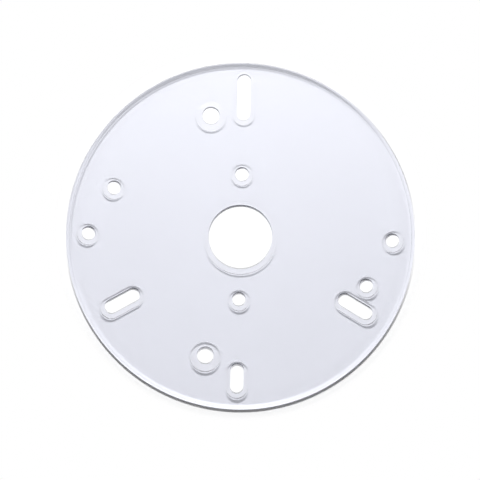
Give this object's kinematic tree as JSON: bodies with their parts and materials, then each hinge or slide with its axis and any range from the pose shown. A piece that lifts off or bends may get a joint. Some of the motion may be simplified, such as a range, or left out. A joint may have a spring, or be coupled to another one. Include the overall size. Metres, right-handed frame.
{
  "type": "router base plate",
  "caption": "Clear round plastic base plate for a router, with a cutter hole recessed for a template guide, and recessed screw holes and slots.",
  "frame": {"origin": "centre of the seat face, on the axis of the cutter hole", "axes": "+Z out of the work face, where the recesses open; +Y towards the long slot; +X towards a hole of the wide screw pair, with the larger holes on the -X side"},
  "size_m": [0.165, 0.165, 0.0063],
  "materials": {
    "clear_acrylic": "clear, with polished faces and machined holes and edges"
  },
  "bodies": {
    "root": {"base_plate": "clear_acrylic"}
  },
  "joints": []
}
